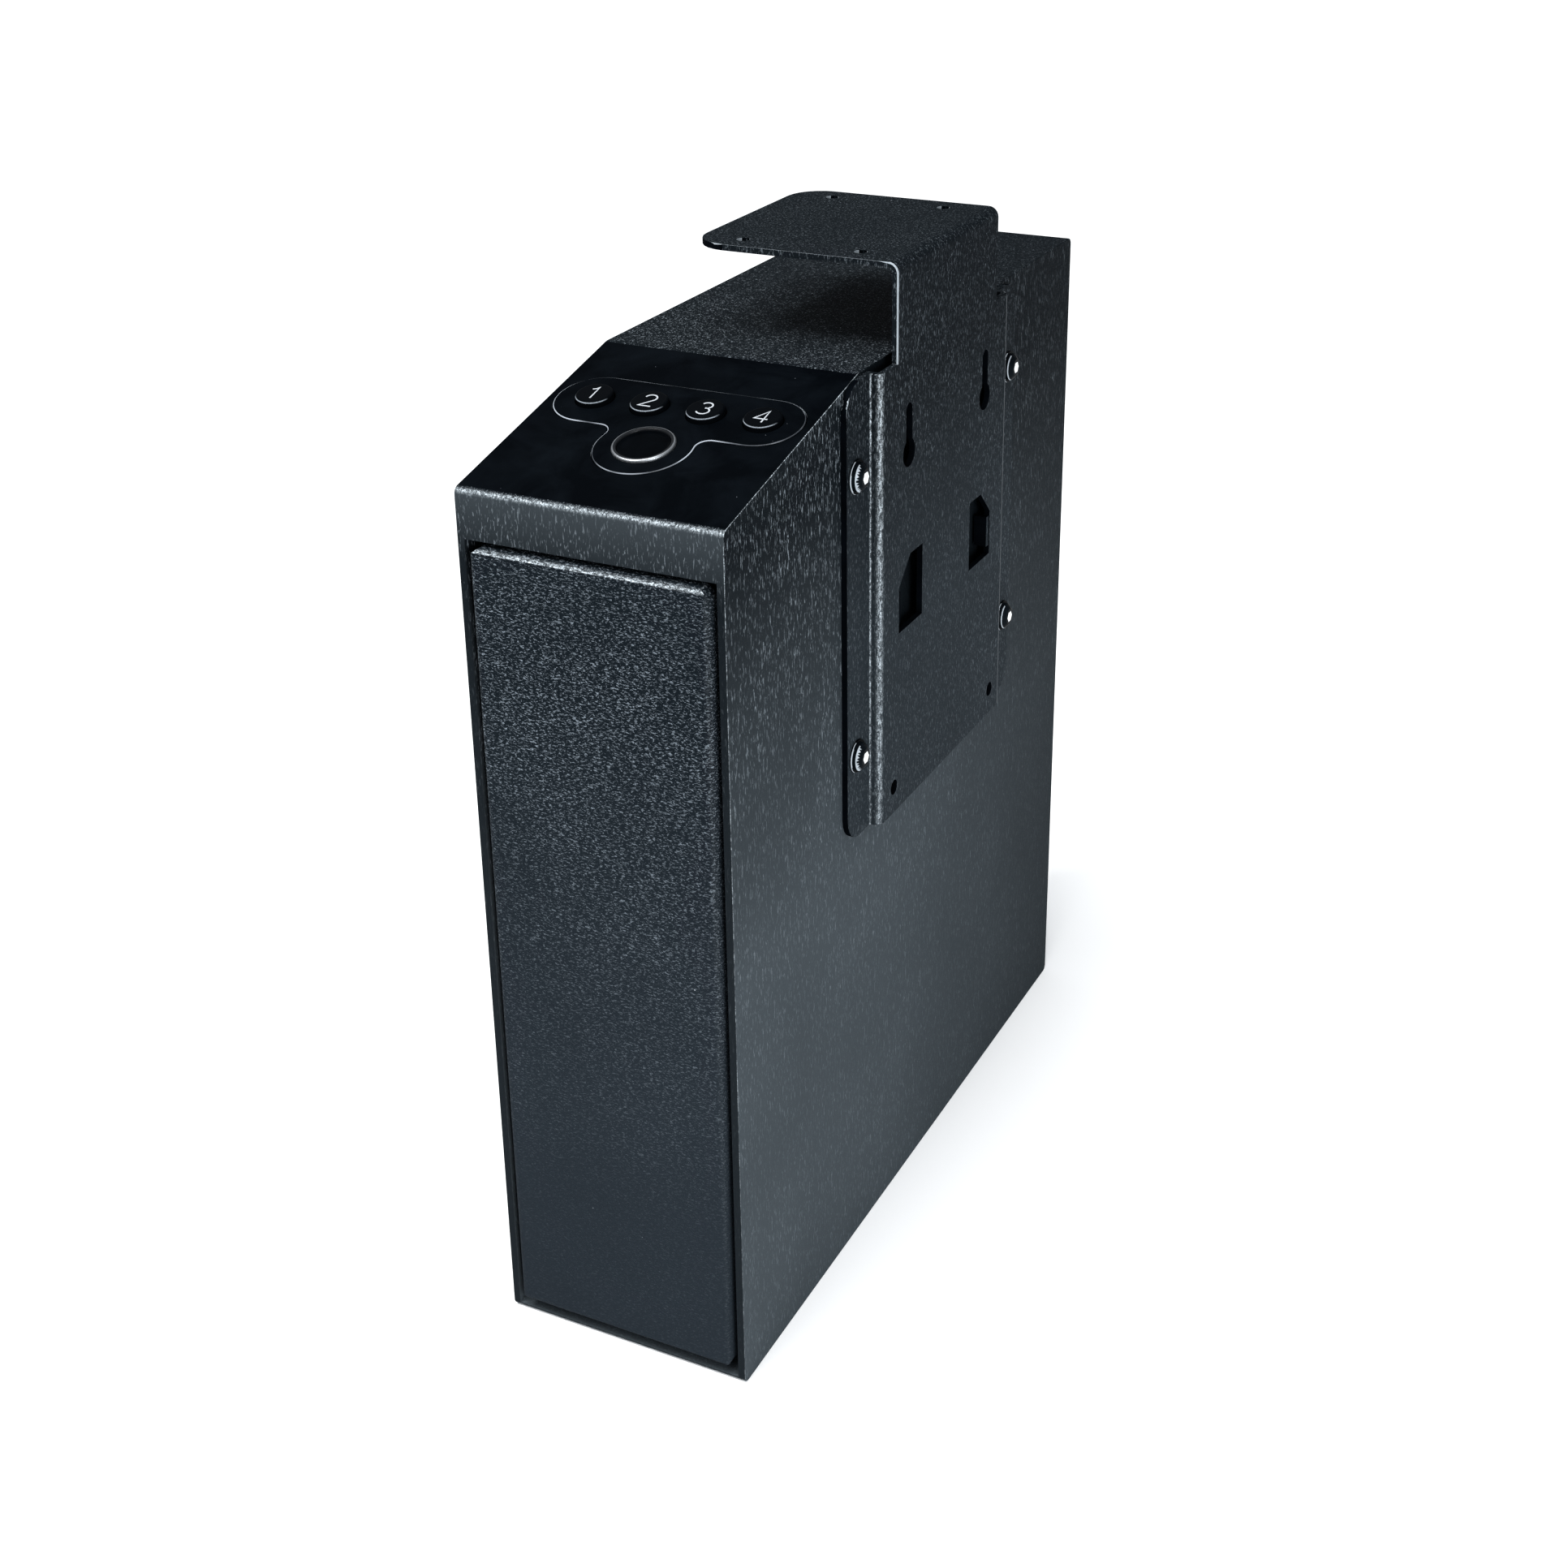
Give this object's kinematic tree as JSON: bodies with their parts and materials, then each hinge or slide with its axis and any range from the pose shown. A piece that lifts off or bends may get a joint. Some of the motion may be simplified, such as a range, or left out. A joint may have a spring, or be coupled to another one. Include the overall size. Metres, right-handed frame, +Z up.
{
  "type": "quick-access wall safe",
  "caption": "Slim steel quick-access safe with sloped keypad and fingerprint panel, drop-front drawer and side mounting bracket.",
  "frame": {"origin": "centre of the housing's footprint, on its base", "axes": "+Z up, -Y out of the door, +X out of the side that carries the bracket"},
  "size_m": [0.097, 0.282, 0.349],
  "materials": {
    "housing_paint": "textured black powder coat",
    "door_paint": "coarse textured black powder coat",
    "bracket_paint": "fine textured black powder coat",
    "inner_paint": "satin dark grey paint",
    "keypad_plastic": "fine matt moulding",
    "key_plastic": "matt with light printed numerals",
    "ring_metal": "satin",
    "lens_black": "gloss",
    "black_plastic": "moulded, matt",
    "screw_black": "black oxide",
    "washer_black": "matt",
    "zinc_steel": "zinc plated",
    "polished_steel": "polished",
    "brass": "turned",
    "board_green": "solder mask",
    "chip_black": "moulded, matt",
    "battery_wrap": "printed wrap, plain",
    "coil_tape": "copper winding under tape",
    "ivory_nylon": "moulded nylon",
    "rubber": "matt",
    "foam": "charcoal foam with a cut surface",
    "strut_paint": "gloss black enamel"
  },
  "bodies": {
    "housing": {"housing_shell": "housing_paint", "rear_panel": "housing_paint", "rear_rivets": "screw_black", "mounting_bracket": "bracket_paint", "bracket_screws": "screw_black", "bracket_washers": "washer_black", "bracket_nuts": "zinc_steel", "keypad_plate": "keypad_plastic", "sensor_ring": "ring_metal", "sensor_lens": "lens_black", "sensor_module": "chip_black", "control_board": "board_green", "board_chips": "chip_black", "key_switches": "chip_black", "board_standoffs": "brass", "board_screws": "zinc_steel", "buzzer": "black_plastic", "electronics_tray": "inner_paint", "tray_standoffs": "brass", "tray_screws": "zinc_steel", "battery_box": "black_plastic", "batteries": "battery_wrap", "battery_contacts": "polished_steel", "battery_cover": "black_plastic", "solenoid_frame": "zinc_steel", "solenoid_coil": "coil_tape", "solenoid_screws": "zinc_steel", "bolt_guide": "ivory_nylon", "lock_body": "polished_steel", "lock_nut": "brass", "hinge_bracket": "inner_paint", "hinge_rivets": "zinc_steel", "hinge_rod": "polished_steel", "hinge_clips": "screw_black", "strut_anchor": "inner_paint", "door_bumpers": "rubber"},
    "drawer": {"door_panel": "door_paint", "door_studs": "zinc_steel", "door_nuts": "zinc_steel", "drawer_tray": "inner_paint", "left_liner": "foam", "right_liner": "foam", "base_liner": "foam", "striker_plate": "zinc_steel", "striker_screws": "zinc_steel", "strut_stud": "zinc_steel"},
    "strut_cylinder": {"strut_cylinder": "strut_paint"},
    "strut_rod": {"strut_rod": "polished_steel"},
    "latch_bolt": {"latch_bolt": "zinc_steel"},
    "lock_plug": {"lock_plug": "polished_steel", "lock_cam": "zinc_steel"},
    "key_1": {"key_1": "key_plastic"},
    "key_2": {"key_2": "key_plastic"},
    "key_3": {"key_3": "key_plastic"},
    "key_4": {"key_4": "key_plastic"}
  },
  "joints": [
    {"name": "drawer_tilt", "type": "hinge", "parent": "housing", "child": "drawer", "pos_m": [0, -0.1325, 0.014], "axis": [1, 0, 0], "range_deg": [0, 45]},
    {"name": "strut_swing", "type": "hinge", "parent": "housing", "child": "strut_cylinder", "pos_m": [-0.0352, 0.02319, 0.03606], "axis": [1, 0, 0], "range_deg": [0, 0.8]},
    {"name": "strut_extend", "type": "slide", "parent": "strut_cylinder", "child": "strut_rod", "axis": [0, -1, 0], "range_m": [0, 0.017]},
    {"name": "bolt_slide", "type": "slide", "parent": "housing", "child": "latch_bolt", "axis": [0, 0, 1], "range_m": [-0.012, 0]},
    {"name": "lock_turn", "type": "hinge", "parent": "housing", "child": "lock_plug", "pos_m": [-0.03, -0.0265, 0.284], "axis": [-1, 0, 0], "range_deg": [0, 42]},
    {"name": "key_1_press", "type": "slide", "parent": "housing", "child": "key_1", "axis": [0, 0.2296, -0.9733], "range_m": [0, 0.001], "stiffness_N_per_m": 400, "springref_m": -0.0005},
    {"name": "key_2_press", "type": "slide", "parent": "housing", "child": "key_2", "axis": [0, 0.2296, -0.9733], "range_m": [0, 0.001], "stiffness_N_per_m": 400, "springref_m": -0.0005},
    {"name": "key_3_press", "type": "slide", "parent": "housing", "child": "key_3", "axis": [0, 0.2296, -0.9733], "range_m": [0, 0.001], "stiffness_N_per_m": 400, "springref_m": -0.0005},
    {"name": "key_4_press", "type": "slide", "parent": "housing", "child": "key_4", "axis": [0, 0.2296, -0.9733], "range_m": [0, 0.001], "stiffness_N_per_m": 400, "springref_m": -0.0005}
  ],
  "couplings": [
    {"joint": "strut_swing", "follows": "drawer_tilt", "ratio": 0.01688},
    {"joint": "strut_extend", "follows": "drawer_tilt", "m_per_rad": 0.021455}
  ]
}
